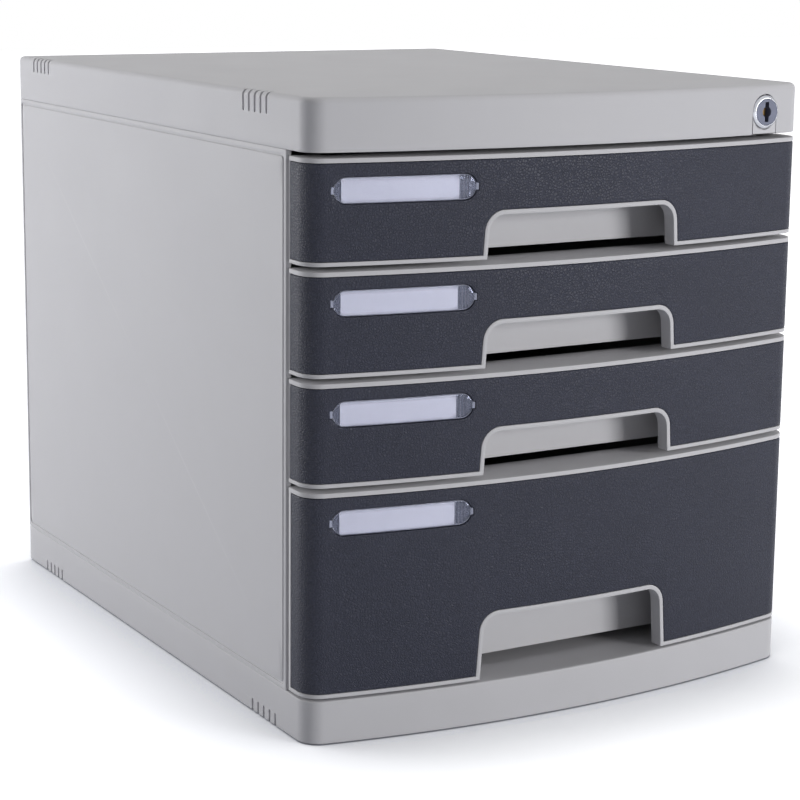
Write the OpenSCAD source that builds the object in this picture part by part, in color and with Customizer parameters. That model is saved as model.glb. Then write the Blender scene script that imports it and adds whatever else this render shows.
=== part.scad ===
// Four-drawer desktop filing cabinet in moulded plastic, with a bowed front and one central lock.
// Frame: X to the right seen from the front, -Y out of the front, Z up; origin under the middle.

/* [Case] */
// Width over the two side panels
case_w = 300; // [270:1:360]
// Depth from the back panel to the middle of the bowed front
case_d = 399; // [330:1:480]
// How far the front bows out between its two corners
front_bow = 17; // [13:0.5:21]
// Radius of the upright front corners
corner_r = 12; // [11.5:0.5:15]
// Wall of the cover, the base and the three panels
wall = 3; // [2.5:0.1:3.6]
// Height of the top cover's skirt
cover_h = 26.2; // [25:0.1:34]
// Height of the base's skirt
base_h = 22.2; // [18:0.1:30]
// Gap that the foot pads leave under the base's skirt
foot_gap = 0.8; // [0.5:0.1:2]
// Diameter of a foot pad
foot_d = 19; // [14:0.5:24]
// Width of the groove line round each panel's field
groove_w = 1.2; // [0.8:0.1:2]
// Depth of the groove line
groove_depth = 0.6; // [0.4:0.1:1]
// Distance of the groove line from the panel's edge
groove_set = 2.4; // [1.5:0.1:4]
// Distance of the front case screws behind the corner line
screw_front = 62.8; // [55:0.1:90]
// Distance of the rear case screws from the back
screw_rear = 55.9; // [40:0.1:90]

/* [Drawer fronts] */
// Height of each of the three shallow fronts
shallow_h = 52; // [46:0.5:75]
// Height of the deep bottom front
deep_h = 105; // [85:0.5:140]
// Upright gap between two fronts
front_gap = 2.6; // [2.2:0.1:3.4]
// Upright gap between the bottom front and the base
base_gap = 1.4; // [1:0.1:2.5]
// How far a front's side returns run back from the corner
return_d = 18.5; // [16:0.5:22]
// Gap between the returns and the side panels
return_gap = 3; // [2.5:0.1:4]
// Height of the tray's rim above the dark panel
rim_top = 2.4; // [1.8:0.1:3.2]
// Height of the tray's rim under the dark panel
rim_bottom = 2; // [1.5:0.1:3]
// Tray rim behind the panel's side ends on the shallow drawers
rim_side = 0.8; // [0.5:0.1:2.5]
// The same rim on the deep drawer
rim_side_deep = 2.2; // [0.5:0.1:3]
// Thickness of the dark panel with its fit gap
panel_t = 3; // [2.6:0.1:3.6]
// Fit gap round the dark panel
panel_fit = 0.15; // [0.1:0.05:0.3]

/* [Finger notch] */
// Width of the notch at its foot, over its rim
notch_w = 119; // [90:1:150]
// Height of the notch in a shallow front, over its rim
notch_h = 24.2; // [20:0.1:30]
// Height of the notch in the deep front, over its rim
notch_h_deep = 35.7; // [28:0.1:50]
// Radius of the notch's upper corners, over the rim
notch_r = 11; // [8:0.5:14]
// Angle by which the notch's sides splay outwards
notch_splay = 4; // [1:0.5:8]
// Width of the rim round the notch
notch_rim = 2.3; // [1.8:0.1:3]
// Depth of the notch's side walls behind the front
recess_d = 8; // [7:0.5:9]

/* [Trays] */
// Wall of the trays
tray_wall = 2.2; // [1.8:0.1:2.4]
// Height of a shallow tray's floor over the foot of its front
floor_lift = 3.4; // [3.2:0.1:6]
// Height of the deep tray's floor over the foot of its front
floor_lift_deep = 9; // [4:0.5:12]
// Depth of the straight inner front wall behind the corner line
store_set = 11.6; // [10:0.1:13]
// Height of that wall's lower edge over the foot of a shallow front
wall_lift = 1.8; // [0.8:0.1:3]
// Height of that wall's lower edge over the foot of the deep front
wall_lift_deep = 4.2; // [2:0.1:6]
// How far the side walls stay under the top of the front
side_drop = 14; // [13.5:0.5:18]
// Side space between a tray's wall and the side panel
side_space = 10.5; // [10:0.5:13]
// Space between a tray's back and the back panel
tray_back_gap = 4; // [2:0.5:8]
// Distance of the stop fins from a tray's back, which sets how far the drawer opens
fin_set = 62.2; // [30:0.1:120]
// How far the runner flange at a tray's foot stands out
flange_w = 4.5; // [3:0.5:5]
// Running gap over and under the runner flange
run_gap = 0.3; // [0.2:0.05:0.5]
// Thickness of the two runner rails round a flange
rail_t = 2.4; // [2:0.1:2.6]

/* [Label holders] */
// Length of the label window without its snap tabs
label_w = 74.5; // [60:0.5:80]
// Height of the label window
label_h = 13.2; // [11:0.1:15]
// Depth of the pocket in the dark panel behind the label
pocket_d = 2; // [1.95:0.05:2.3]
// Distance of the label's middle from the left side of the case
label_set = 49.7; // [48:0.1:60]
// Distance of the label's middle under the top of the front
label_drop = 15.6; // [13:0.1:18]
// Width of the paper card
card_w = 62; // [50:1:64]
// Height of the paper card
card_h = 11.9; // [10:0.1:13]
// Length of a snap tab at the window's ends
tab_l = 1.2; // [0.8:0.1:3]
// Height of a snap tab
tab_h = 3.8; // [3:0.1:5]

/* [Lock] */
// Distance of the lock's axis from the right side of the case
lock_set = 29.5; // [27:0.5:32]
// Height of the lock's axis over the cover's lower edge
lock_rise = 11.9; // [11:0.1:13]
// Radius of the lock's chrome bezel
bezel_r = 8.8; // [8:0.1:9]
// Radius of the lock's barrel
barrel_r = 8.3; // [7.6:0.1:8.4]
// Radius of the turning plug's face
plug_face_r = 7; // [6.5:0.1:7.2]
// Radius of the turning plug's body
plug_r = 5.5; // [4.5:0.1:6]
// Radial running gap of the plug
plug_gap = 0.06; // [0.03:0.01:0.1]
// Width of the filler piece under the lock
insert_w = 17.8; // [17:0.1:18.6]
// Radius on which the cam's pin swings
pin_throw = 6; // [5:0.5:6.5]
// Radius of the cam's pin
pin_r = 1.5; // [1.2:0.1:1.8]
// Gap between the pin and its slot in the lock bar
pin_gap = 0.35; // [0.3:0.05:0.5]
// Width of the lock bar along the depth of the case
bar_w = 8; // [7:0.5:9]
// Thickness of the lock bar
bar_t = 4; // [3:0.5:4.5]
// Height of a tooth on the lock bar
tooth_h = 6; // [5:0.5:7]

/* [Vents] */
// Number of slots in each of the groups on the cover and the base
vent_count = 5; // [3:1:7]
// Distance between two slots
vent_pitch = 6.3; // [5:0.1:8]
// Width of a slot
vent_w = 2; // [1.4:0.1:2.6]
// Depth of a slot
vent_depth = 1.2; // [0.6:0.1:1.5]
// Distance of the cover's front group's middle from the corner line
vent_front = 55.4; // [45:0.1:70]
// Distance of the base's front group's middle from the corner line
vent_front_base = 46.2; // [40:0.1:70]
// Distance of the cover's rear group's middle from the back
vent_rear = 36.6; // [30:0.1:60]
// Distance of the base's rear group's middle from the back
vent_rear_base = 43.4; // [30:0.1:60]

/* [Hidden] */

eps = 1;            // how far a cutter runs past what it cuts
light_grey = [0.75, 0.75, 0.76];
slate = [0.22, 0.23, 0.28];

// plan of the case: an arc between the two corners, rounded corners, straight sides
half_w = case_w / 2;
y_front = -case_d / 2;
y_back = case_d / 2;
y_corner = y_front + front_bow;
bow_r = (half_w * half_w + front_bow * front_bow) / (2 * front_bow);
bow_y = y_front + bow_r;
round_x = half_w - corner_r;
round_y = bow_y - sqrt(pow(bow_r - corner_r, 2) - pow(round_x, 2));
function bow_at(x, inset = 0) = bow_y - sqrt(pow(bow_r - inset, 2) - x * x);

// heights; drawer 1 is the top one and drawer 4 the deep bottom one
base_top = foot_gap + base_h;
function front_h(n) = n == 4 ? deep_h : shallow_h;
function front_z(n) = n == 4 ? base_top + base_gap : front_z(n + 1) + front_h(n + 1) + front_gap;
function front_top(n) = front_z(n) + front_h(n);
function lift(n) = n == 4 ? floor_lift_deep : floor_lift;
function floor_z(n) = front_z(n) + lift(n);
function wall_foot(n) = front_z(n) + (n == 4 ? wall_lift_deep : wall_lift);
cover_z = front_top(1) + front_gap;
case_h = cover_z + cover_h;

// front block, tray and side panel
return_y = y_corner + return_d;
panel_y = return_y + return_gap;
store_y = y_corner + store_set;
inner_x = half_w - wall;
tray_x = inner_x - side_space;
tray_back = y_back - wall - tray_back_gap;
rail_x = tray_x + 1;
plate_t = 2.5;      // deck of the base, under the bottom drawer

// lock bar and its teeth, at the right behind the front returns
bar_gap = 0.6;
bar_x = inner_x - bar_gap - bar_t;
bar_y = panel_y + return_gap;
bar_slot = 0.5;     // gap each side of the bar in its guides
bar_drop = 2 * pin_throw * sin(45);
tooth_gap = 1;      // gap between an idle tooth and the shoulder under it
shoulder_drop = 4;  // how far a tray's front shoulder stays under the top of the front
shoulder_t = 4;
shoulder_h = 16;
shoulder_x = tray_x + 1;
shoulder_y = bar_y + bar_w + 9.1;
tooth_x = shoulder_x - shoulder_t;
tooth_w = bar_w - 2;
latch_gap = 1.5;    // play of a tooth in its notch
function tooth_z(n) = front_top(n) - shoulder_drop + tooth_gap;
stop_y = shoulder_y + 4.9;
stop_w = 4;
stop_fin = 12;
fin_y = tray_back - fin_set - stop_fin;

// lock
lock_x = half_w - lock_set;
lock_z = cover_z + lock_rise;
lock_y = bow_at(lock_x) - 1.6;
pocket_r = bezel_r + 0.7;
seat_d = 3.6;       // depth of the bezel's seat behind its face
boss_d = 12.2;      // depth of the cover's lock boss behind the bezel's face
boss_w = 26;
barrel_l = 22;
cam_t = 2.5;
cam_d = barrel_l + 1;
yoke_t = 4;
yoke_y = lock_y + cam_d + cam_t + 3.2;
yoke_h = 2 * (pin_r + pin_gap) + 3.4;
pin_x = pin_throw * cos(45);
pin_z = pin_throw * sin(45);

module outline(inset, back) {
    ray_x = round_x / (bow_r - corner_r);
    ray_y = (round_y - bow_y) / (bow_r - corner_r);
    far_x = round_x + ray_x * (corner_r + 5);
    far_y = round_y + ray_y * (corner_r + 5);
    intersection() {
        union() {
            intersection() {
                translate([0, bow_y]) circle(r = bow_r - inset, $fn = 720);
                polygon([[-round_x, round_y], [-far_x, far_y], [-far_x, y_front - 10],
                         [far_x, y_front - 10], [far_x, far_y], [round_x, round_y]]);
            }
            for (side = [-1, 1]) translate([side * round_x, round_y])
                circle(r = corner_r - inset, $fn = 64);
            translate([inset - half_w, round_y]) square([case_w - 2 * inset, back - round_y]);
        }
        translate([-half_w - 10, y_front - 10]) square([case_w + 20, back - y_front + 10]);
    }
}

// upright wall that follows the bowed front and its returns, open at the back
module band(z, h, outer, inner, back) {
    translate([0, 0, z]) linear_extrude(h) difference() {
        outline(outer, back);
        outline(inner, back + eps);
    }
}

module block(x0, x1, y0, y1, z0, z1) {
    translate([x0, y0, z0]) cube([x1 - x0, y1 - y0, z1 - z0]);
}

module both_sides() {
    children();
    mirror([1, 0, 0]) children();
}

// finger notch seen from the front: splayed legs and rounded upper corners
module notch_shape(high, inset) {
    half = notch_w / 2 - inset / cos(notch_splay);
    top = high - inset;
    r = notch_r - inset;
    cx = half - (top - r) * tan(notch_splay) - r / cos(notch_splay);
    arc = [for (i = [0:8]) let (a = notch_splay + i * (90 - notch_splay) / 8)
           [cx + r * cos(a), top - r + r * sin(a)]];
    foot = [half + 5 * tan(notch_splay), -5];
    polygon(concat([foot], arc,
                   [for (i = [8:-1:0]) [-arc[i][0], arc[i][1]]], [[-foot[0], foot[1]]]));
}

// pushes a front-view shape through the whole front block
module through_front(z) {
    translate([0, store_y, z]) rotate([90, 0, 0]) linear_extrude(front_bow + store_set + eps) children();
}

module notch_prism(n, inset) {
    through_front(front_z(n)) notch_shape(n == 4 ? notch_h_deep : notch_h, inset);
}

// label window seen from the front: a slot with round ends and a snap tab at each end
module label_shape(grow) {
    flat = label_w - label_h;
    square([flat, label_h + 2 * grow], center = true);
    for (side = [-1, 1]) translate([side * flat / 2, 0]) circle(r = label_h / 2 + grow, $fn = 64);
    square([label_w + 2 * (tab_l + grow), tab_h + 2 * grow], center = true);
}

module at_label(n) {
    through_front(front_top(n) - label_drop) translate([label_set - half_w, 0]) children();
}

web_x = notch_w / 2 + 38;
peg_x = [notch_w / 2 + 12, round_x - 13];
module panel_pegs(n, r, from, length) {
    for (side = [-1, 1], x = peg_x)
        translate([side * x, bow_at(x, from) - eps, front_z(n) + rim_bottom + 8]) rotate([-90, 0, 0])
            cylinder(r = r, h = length + eps, $fn = 32);
}

// ---------------------------------------------------------------- drawers

module drawer_tray(n) {
    z = front_z(n);
    h = front_h(n);
    top = front_top(n);
    deck = floor_z(n);
    back_wall = panel_t + tray_wall;
    color(light_grey) difference() {
        union() {
            // wall behind the dark panel, the rims over and under it, and the rims at its ends
            band(z, h, panel_t, back_wall, return_y);
            band(z, rim_bottom, 0, back_wall, return_y);
            translate([0, 0, top - rim_top]) linear_extrude(rim_top) outline(0, return_y);
            intersection() {
                band(z, h, 0, back_wall, return_y);
                block(-half_w, half_w, return_y - (n == 4 ? rim_side_deep : rim_side), return_y, z, top);
            }
            // rim and side walls of the finger notch
            intersection() {
                band(z, h, 0, recess_d, store_y);
                difference() {
                    notch_prism(n, 0);
                    notch_prism(n, notch_rim);
                }
            }
            // webs between the front wall and the straight inner wall
            for (x = [-web_x, web_x])
                intersection() {
                    translate([0, 0, z + 4]) linear_extrude(h - 4) outline(panel_t, store_y);
                    block(x - 1, x + 1, y_front, store_y, z, top);
                }
            // storage box; its front wall closes the finger notch and hangs below the floor
            block(-tray_x, tray_x, store_y - tray_wall, store_y, wall_foot(n), top);
            block(-tray_x - flange_w, tray_x + flange_w, store_y - tray_wall, tray_back,
                  deck, deck + tray_wall);
            block(-tray_x, tray_x, tray_back - tray_wall, tray_back, deck, top - side_drop);
            both_sides() {
                block(tray_x - tray_wall, tray_x, store_y - tray_wall, tray_back, deck, top - side_drop);
                // tall fin that meets the side panel's stop when the drawer is fully out
                block(tray_x - tray_wall, tray_x, fin_y, fin_y + stop_fin, deck, top - shoulder_drop);
                // shoulder behind the front; the right one takes the lock bar's tooth
                block(shoulder_x - shoulder_t, shoulder_x, store_y - tray_wall, shoulder_y,
                      top - shoulder_drop - shoulder_h, top - shoulder_drop);
            }
        }
        // storage space through the top flange
        block(tray_wall - tray_x, tray_x - tray_wall, store_y, return_y + eps,
              deck + tray_wall, top + eps);
        // finger opening through the front wall
        intersection() {
            notch_prism(n, notch_rim);
            translate([0, 0, z - eps]) linear_extrude(h + 2 * eps) difference() {
                outline(-eps, store_y);
                outline(recess_d, store_y + eps);
            }
        }
        // notch for the lock bar's tooth
        block(tooth_x - eps, shoulder_x + eps, bar_y + 1 - latch_gap, bar_y + 1 + tooth_w + latch_gap,
              tooth_z(n) - bar_drop - tooth_gap, top);
        panel_pegs(n, 2.2, panel_t, tray_wall + 2);
    }
}

module drawer_face(n) {
    z = front_z(n) + rim_bottom + panel_fit;
    h = front_h(n) - rim_bottom - rim_top - 2 * panel_fit;
    side = n == 4 ? rim_side_deep : rim_side;
    color(slate) difference() {
        union() {
            band(z, h, 0, panel_t - panel_fit, return_y - side - panel_fit);
            panel_pegs(n, 2, panel_t - panel_fit, tray_wall + 2.5);
        }
        notch_prism(n, -panel_fit);
        // pocket for the label
        intersection() {
            at_label(n) label_shape(0.25);
            translate([0, 0, z]) linear_extrude(h) difference() {
                outline(-eps, store_y);
                outline(pocket_d, store_y + eps);
            }
        }
    }
}

module label_window(n) {
    color([0.75, 0.78, 0.86, 0.5]) intersection() {
        at_label(n) label_shape(0);
        band(front_z(n), front_h(n), 0.3, pocket_d - 0.5, store_y);
    }
}

module label_card(n) {
    // the card lies towards the left end of its pocket
    shift = (card_w - label_w) / 2 + 4.2;
    color("white") intersection() {
        at_label(n) translate([shift, 0]) square([card_w, card_h], center = true);
        band(front_z(n), front_h(n), pocket_d - 0.4, pocket_d - 0.1, store_y);
    }
}

// ------------------------------------------------------------------- case

// one group of vent slots on the right-hand side, cut from z0 up to z1
module vent_group(y, z0, z1) {
    for (i = [0:vent_count - 1]) {
        slot_y = y + (i - (vent_count - 1) / 2) * vent_pitch;
        block(half_w - vent_depth, half_w + eps, slot_y - vent_w / 2, slot_y + vent_w / 2, z0, z1);
    }
}

module base_tray() {
    vent_top = foot_gap + 6.5;
    color(light_grey) difference() {
        union() {
            difference() {
                translate([0, 0, foot_gap]) linear_extrude(base_h) outline(0, y_back);
                translate([0, 0, foot_gap - eps]) linear_extrude(base_h - plate_t + eps)
                    outline(wall, y_back - wall);
            }
            // stiffening ribs across the deck's underside
            for (y = [-rib_pitch, 0, rib_pitch])
                block(wall - half_w, half_w - wall, y - 1, y + 1, base_top - rib_h, base_top - plate_t);
            foot_places() cylinder(r = foot_d / 2 + 0.5, h = base_top - plate_t - foot_t, $fn = 64);
        }
        foot_places() translate([0, 0, -eps])
            cylinder(r = foot_d / 2 - 3, h = base_top - plate_t - foot_t + eps, $fn = 64);
        screw_places() translate([0, 0, base_top - plate_t - eps])
            cylinder(r = screw_r + 0.25, h = plate_t + 2 * eps, $fn = 32);
        both_sides() {
            vent_group(y_corner + vent_front_base, foot_gap - eps, vent_top);
            vent_group(y_back - vent_rear_base, foot_gap - eps, vent_top);
        }
    }
}

foot_t = 3;
foot_in = 24;
rib_pitch = 100;    // distance between the cross ribs
rib_h = 12;         // height of the ribs with the deck
module foot_places() {
    for (x = [-1, 1] * (half_w - foot_in), y = [y_corner + foot_in, y_back - foot_in])
        translate([x, y, foot_t]) children();
}

module foot_pads() {
    color([0.2, 0.2, 0.2]) foot_places() translate([0, 0, -foot_t])
        cylinder(r = foot_d / 2, h = foot_t, $fn = 64);
}

screw_r = 1.5;
post_r = 4;
post_h = 7;
screw_in = 4.6;     // distance of the screws from the panel's inner face
screw_y = [y_corner + screw_front, y_back - screw_rear];
module screw_places() {
    for (x = [-1, 1] * (inner_x - screw_in), y = screw_y) translate([x, y, 0]) children();
}

module case_screws() {
    color([0.6, 0.6, 0.62]) screw_places() {
        translate([0, 0, base_top - plate_t - 2.2]) cylinder(r = 3, h = 2.2, $fn = 48);
        translate([0, 0, base_top - plate_t])
            cylinder(r = screw_r - 0.05, h = plate_t + post_h - 1.5, $fn = 32);
    }
}

tongue_t = 2.2;
tongue_y = bar_y + bar_w + 8;

// right-hand panel without the parts that only the lock needs
module side_panel() {
    groove_out = groove_set + groove_w;
    difference() {
        union() {
            block(inner_x, half_w, panel_y, y_back, base_top, cover_z);
            // tongue that stands inside the cover's skirt
            block(inner_x - tongue_t, inner_x + eps, tongue_y, y_back - 12, cover_z - 6, cover_z - 0.4);
            block(inner_x - tongue_t, inner_x - 0.2, tongue_y, y_back - 12, cover_z - 1, cover_z + 8);
            // runner rails under and over the flange at each tray's foot
            for (n = [1:4], z = [floor_z(n) - run_gap - rail_t, floor_z(n) + tray_wall + run_gap])
                block(rail_x, inner_x + eps, bar_y + bar_w + 5, tray_back, z, z + rail_t);
            // stops over the trays' low side walls
            for (n = [1:4])
                block(tray_x - tray_wall + 0.2, inner_x + eps, stop_y, stop_y + stop_w,
                      front_top(n) - side_drop + 2.5, front_top(n) - shoulder_drop - 1);
            for (y = screw_y) {
                translate([inner_x - screw_in, y, base_top]) cylinder(r = post_r, h = post_h, $fn = 48);
                block(inner_x - screw_in, inner_x + eps, y - 1.5, y + 1.5, base_top, base_top + post_h);
            }
        }
        for (y = screw_y) translate([inner_x - screw_in, y, base_top - eps])
            cylinder(r = screw_r, h = post_h - 0.5 + eps, $fn = 32);
        // groove line round the outer field
        difference() {
            block(half_w - groove_depth, half_w + eps, panel_y + groove_set, y_back - groove_set,
                  base_top + groove_set, cover_z - groove_set);
            block(half_w - 2 * groove_depth, half_w + 2 * eps, panel_y + groove_out, y_back - groove_out,
                  base_top + groove_out, cover_z - groove_out);
        }
    }
}

module left_side_panel() {
    color(light_grey) mirror([1, 0, 0]) side_panel();
}

// two loops on the right-hand panel hold the lock bar and let it slide up and down
loop_h = 8;
loop_t = 2;
module right_side_panel() {
    loop_x = bar_x - bar_slot;
    color(light_grey) union() {
        side_panel();
        for (z = [front_z(3) + 18, front_z(1) + 16]) difference() {
            block(loop_x - loop_t, inner_x + eps, bar_y - bar_slot - loop_t,
                  bar_y + bar_w + bar_slot + loop_t, z, z + loop_h);
            block(loop_x, inner_x - 0.2, bar_y - bar_slot, bar_y + bar_w + bar_slot,
                  z - eps, z + loop_h + eps);
        }
    }
}

module back_panel() {
    fit = 0.1;
    groove_out = groove_set + groove_w;
    x = inner_x - fit;
    color(light_grey) difference() {
        block(-x, x, y_back - wall, y_back, base_top, cover_z);
        difference() {
            block(groove_set - x, x - groove_set, y_back - groove_depth, y_back + eps,
                  base_top + groove_set, cover_z - groove_set);
            block(groove_out - x, x - groove_out, y_back - 2 * groove_depth, y_back + 2 * eps,
                  base_top + groove_out, cover_z - groove_out);
        }
    }
}

// slot in the cover's front, open downwards, by which the lock is put in
module lock_slot(w) {
    block(lock_x - w / 2, lock_x + w / 2, y_front - eps, lock_y + boss_d + eps, cover_z - eps, lock_z);
}

module lock_axis() {
    translate([lock_x, lock_y, lock_z]) rotate([-90, 0, 0]) children();
}

module top_cover() {
    vent_z = cover_z + 16.4;
    vent_over = 4.5;
    color(light_grey) difference() {
        union() {
            difference() {
                translate([0, 0, cover_z]) linear_extrude(cover_h) outline(0, y_back);
                translate([0, 0, cover_z - eps]) linear_extrude(cover_h - wall + eps)
                    outline(wall, y_back - wall);
            }
            // boss behind the lock
            intersection() {
                translate([0, 0, cover_z]) linear_extrude(cover_h) outline(wall / 2, y_back);
                block(lock_x - boss_w / 2, lock_x + boss_w / 2, y_front, lock_y + boss_d,
                      cover_z, case_h);
            }
            // stiffening ribs under the top
            for (y = [-rib_pitch, 0, rib_pitch])
                block(wall - half_w, half_w - wall, y - 1, y + 1, case_h - wall - 4, case_h - wall);
        }
        lock_slot(insert_w + 0.2);
        lock_axis() {
            translate([0, 0, -10]) cylinder(r = pocket_r, h = 10 + seat_d, $fn = 96);
            cylinder(r = barrel_r + 0.1, h = boss_d + eps, $fn = 96);
        }
        both_sides() for (y = [y_corner + vent_front, y_back - vent_rear]) {
            vent_group(y, vent_z, case_h + eps);
            for (i = [0:vent_count - 1]) {
                slot_y = y + (i - (vent_count - 1) / 2) * vent_pitch;
                block(half_w - vent_over, half_w + eps, slot_y - vent_w / 2, slot_y + vent_w / 2,
                      case_h - vent_depth, case_h + eps);
                translate([half_w - vent_depth, slot_y, vent_z]) rotate([0, 90, 0])
                    cylinder(r = vent_w / 2, h = vent_depth + eps, $fn = 32);
            }
        }
    }
}

// ------------------------------------------------------------------- lock

module lock_insert() {
    color(light_grey) difference() {
        intersection() {
            translate([0, 0, cover_z + 0.5]) linear_extrude(lock_rise) outline(0, y_back);
            block(lock_x - insert_w / 2, lock_x + insert_w / 2, y_front, lock_y + boss_d,
                  cover_z, lock_z);
        }
        lock_axis() {
            translate([0, 0, -10]) cylinder(r = pocket_r, h = 10 + seat_d, $fn = 96);
            cylinder(r = barrel_r + 0.1, h = boss_d + eps, $fn = 96);
        }
    }
}

clip_t = 1.4;
clip_r = barrel_r - 0.7;
module lock_housing() {
    color([0.8, 0.8, 0.82]) lock_axis() rotate_extrude($fn = 96) polygon([
        [plug_face_r + 0.1, 0], [bezel_r - 1.3, 0], [bezel_r, 1.3], [bezel_r, seat_d - 0.1],
        [barrel_r, seat_d - 0.1], [barrel_r, boss_d], [clip_r, boss_d], [clip_r, boss_d + clip_t + 0.1],
        [barrel_r, boss_d + clip_t + 0.1], [barrel_r, barrel_l], [plug_r + plug_gap, barrel_l],
        [plug_r + plug_gap, 1.7], [plug_face_r + 0.1, 1.7]]);
}

module lock_clip() {
    fit = 0.05;
    color([0.7, 0.7, 0.72]) lock_axis() translate([0, 0, boss_d + fit]) linear_extrude(clip_t)
        difference() {
            translate([-12, -10]) square([24, 20]);
            circle(r = clip_r + fit, $fn = 96);
            translate([-clip_r - fit, 0]) square([2 * (clip_r + fit), 11]);
        }
}

module lock_plug() {
    key_depth = 14;
    color([0.55, 0.57, 0.66]) lock_axis() difference() {
        union() {
            translate([0, 0, -0.1]) cylinder(r = plug_face_r, h = 1.7, $fn = 96);
            translate([0, 0, 1.6 - eps]) cylinder(r = plug_r, h = cam_d - 1.6 + eps, $fn = 96);
            translate([0, 0, cam_d - eps]) cylinder(r = 3, h = cam_t + eps, $fn = 48);
        }
        // keyway: an upright slot with a round middle
        translate([-1.1, -4.9, -eps]) cube([2.2, 9.8, key_depth + eps]);
        translate([0, 0, -eps]) cylinder(r = 2.3, h = key_depth + eps, $fn = 48);
        // hole for the cam's screw
        translate([0, 0, cam_d + cam_t - 7]) cylinder(r = screw_r, h = 8, $fn = 32);
    }
}

module lock_cam() {
    reach = pin_throw;
    color([0.7, 0.7, 0.72]) lock_axis() {
        translate([0, 0, cam_d + 0.05]) linear_extrude(cam_t - 0.1) difference() {
            union() {
                circle(r = 5, $fn = 64);
                rotate(-45) translate([0, -2.8]) square([reach, 5.6]);
                translate([pin_x, -pin_z]) circle(r = 2.8, $fn = 48);
            }
            circle(r = 3.05, $fn = 48);
        }
        translate([pin_x, -pin_z, cam_d + 0.1])
            cylinder(r = pin_r, h = yoke_y + yoke_t + 0.5 - lock_y - cam_d, $fn = 48);
    }
}

module cam_screw() {
    color([0.6, 0.6, 0.62]) lock_axis() {
        translate([0, 0, cam_d + cam_t]) cylinder(r = 3.8, h = 1.8, $fn = 48);
        translate([0, 0, cam_d + cam_t - 6]) cylinder(r = screw_r - 0.05, h = 6 + eps, $fn = 32);
    }
}

module lock_bar() {
    slot_z = lock_z + pin_z;
    slot_r = pin_r + pin_gap;
    slot_from = lock_x + pin_x - 0.4;
    slot_to = lock_x + pin_throw + 0.4;
    yoke_top = slot_z + yoke_h / 2;
    color([0.72, 0.72, 0.73]) union() {
        block(bar_x, bar_x + bar_t, bar_y, bar_y + bar_w, front_top(4) - 12, yoke_top);
        for (n = [1:4])
            block(tooth_x, bar_x + eps, bar_y + 1, bar_y + 1 + tooth_w,
                  tooth_z(n), tooth_z(n) + tooth_h);
        // arm to the cam's pin, with its level slot
        block(bar_x, bar_x + bar_t, yoke_y, bar_y + eps, slot_z - yoke_h / 2, yoke_top);
        difference() {
            block(slot_from - slot_r - 1.6, bar_x + eps, yoke_y, yoke_y + yoke_t,
                  slot_z - yoke_h / 2, yoke_top);
            translate([0, yoke_y - eps, slot_z]) rotate([-90, 0, 0]) linear_extrude(yoke_t + 2 * eps) {
                translate([slot_from, 0]) circle(r = slot_r, $fn = 48);
                translate([slot_to, 0]) circle(r = slot_r, $fn = 48);
                translate([slot_from, -slot_r]) square([slot_to - slot_from, 2 * slot_r]);
            }
        }
    }
}

base_tray();
foot_pads();
left_side_panel();
right_side_panel();
back_panel();
case_screws();
top_cover();
lock_insert();
lock_housing();
lock_clip();
lock_plug();
lock_cam();
cam_screw();
lock_bar();
drawer_tray(1);  // drawer_tray_1
drawer_tray(2);  // drawer_tray_2
drawer_tray(3);  // drawer_tray_3
drawer_tray(4);  // drawer_tray_4
drawer_face(1);  // drawer_face_1
drawer_face(2);  // drawer_face_2
drawer_face(3);  // drawer_face_3
drawer_face(4);  // drawer_face_4
label_window(1);  // label_window_1
label_window(2);  // label_window_2
label_window(3);  // label_window_3
label_window(4);  // label_window_4
label_card(1);  // label_card_1
label_card(2);  // label_card_2
label_card(3);  // label_card_3
label_card(4);  // label_card_4
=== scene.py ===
import math

import bpy
import numpy as np
from mathutils import Matrix, Vector


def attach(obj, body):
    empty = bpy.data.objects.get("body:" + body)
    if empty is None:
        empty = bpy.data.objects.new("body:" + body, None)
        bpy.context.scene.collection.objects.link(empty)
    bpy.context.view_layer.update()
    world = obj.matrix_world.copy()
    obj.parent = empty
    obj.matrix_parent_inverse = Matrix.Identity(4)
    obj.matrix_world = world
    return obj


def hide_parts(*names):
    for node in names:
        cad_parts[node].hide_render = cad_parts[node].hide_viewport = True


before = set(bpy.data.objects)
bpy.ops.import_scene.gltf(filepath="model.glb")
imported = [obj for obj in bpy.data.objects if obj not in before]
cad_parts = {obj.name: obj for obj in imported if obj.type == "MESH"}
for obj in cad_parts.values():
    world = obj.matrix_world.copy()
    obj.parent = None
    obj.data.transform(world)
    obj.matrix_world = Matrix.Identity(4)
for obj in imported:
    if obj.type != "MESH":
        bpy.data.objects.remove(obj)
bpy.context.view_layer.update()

# --------------------------------------------------------------------- base tray
# An injection-moulded skirt with a deck: one light grey plastic moulding, 300 x 399 mm in plan,
# 22.2 mm high, with stiffening ribs, four tubes for the rubber feet and two groups of
# vent grooves low on each side. It carries the side and back panels on screws.
BOW_R, BOW_Y = 670.3, 470.8          # the front's arc in plan, and its centre's place
ROUND_X, ROUND_Y, ROUND_R = 138.0, -172.9, 12.0
HALF_W, Y_BACK, BACK_R = 150.0, 199.5, 1.0
CORNER_Y = -182.5                    # where the bow would meet the straight side
BOW_TURN = math.atan2(ROUND_X, BOW_Y - ROUND_Y)
BOW_L = BOW_R * BOW_TURN
ROUND_L = ROUND_R * (math.pi / 2 - BOW_TURN)
SIDE_L = Y_BACK - BACK_R - ROUND_Y
BACK_L = BACK_R * math.pi / 2
HALF_L = BOW_L + ROUND_L + SIDE_L + BACK_L + HALF_W - BACK_R


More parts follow.
